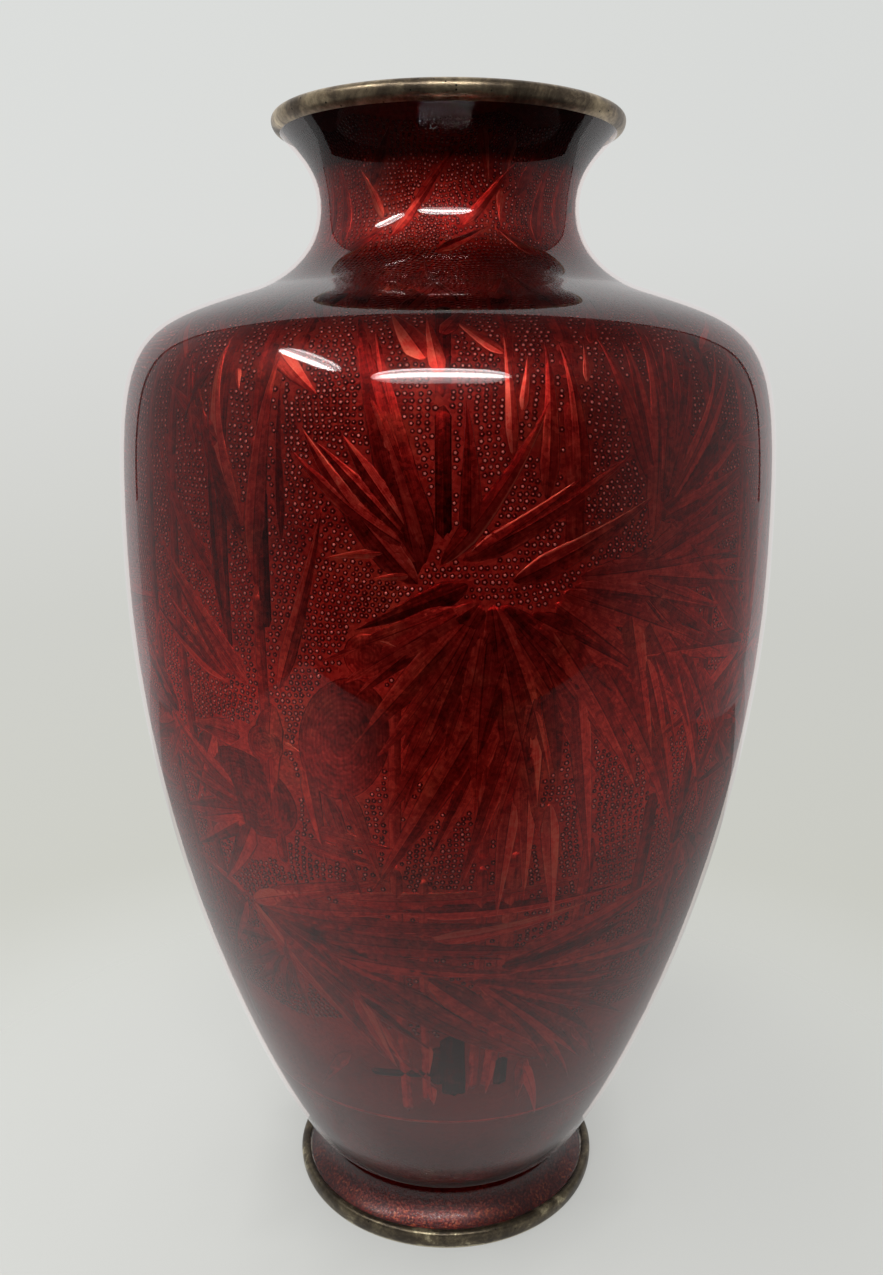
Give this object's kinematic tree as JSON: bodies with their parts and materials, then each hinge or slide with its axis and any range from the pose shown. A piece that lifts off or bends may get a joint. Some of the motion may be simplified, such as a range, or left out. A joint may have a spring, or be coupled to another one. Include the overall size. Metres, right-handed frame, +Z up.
{
  "type": "enamelled vase",
  "caption": "Tall baluster vase of clear red enamel over embossed foil on a copper body, with a flared neck, a short foot and tarnished brass rings at mouth and foot.",
  "frame": {"origin": "centre of the foot ring's resting plane", "axes": "+Z up along the vase's axis; -Y towards the side that is pictured"},
  "size_m": [0.1728, 0.1728, 0.3],
  "materials": {
    "red_enamel": "polished clear red vitreous enamel",
    "silver_foil": "embossed silver foil with engraved leaves, birds and raised dots",
    "copper": "spun copper sheet",
    "braze": "filed brazing metal",
    "counter_enamel": "plain dark vitreous enamel, slightly pebbled",
    "ring_brass": "tarnished brass with worn bright edges"
  },
  "bodies": {
    "root": {"lower_shell": "copper", "upper_shell": "copper", "belly_seam": "braze", "foot_wall": "copper", "foot_solder": "braze", "body_foil": "silver_foil", "foot_foil": "silver_foil", "body_enamel": "red_enamel", "foot_enamel": "red_enamel", "inner_enamel": "counter_enamel", "base_enamel": "counter_enamel", "rim_ring": "ring_brass", "foot_ring": "ring_brass"}
  },
  "joints": []
}
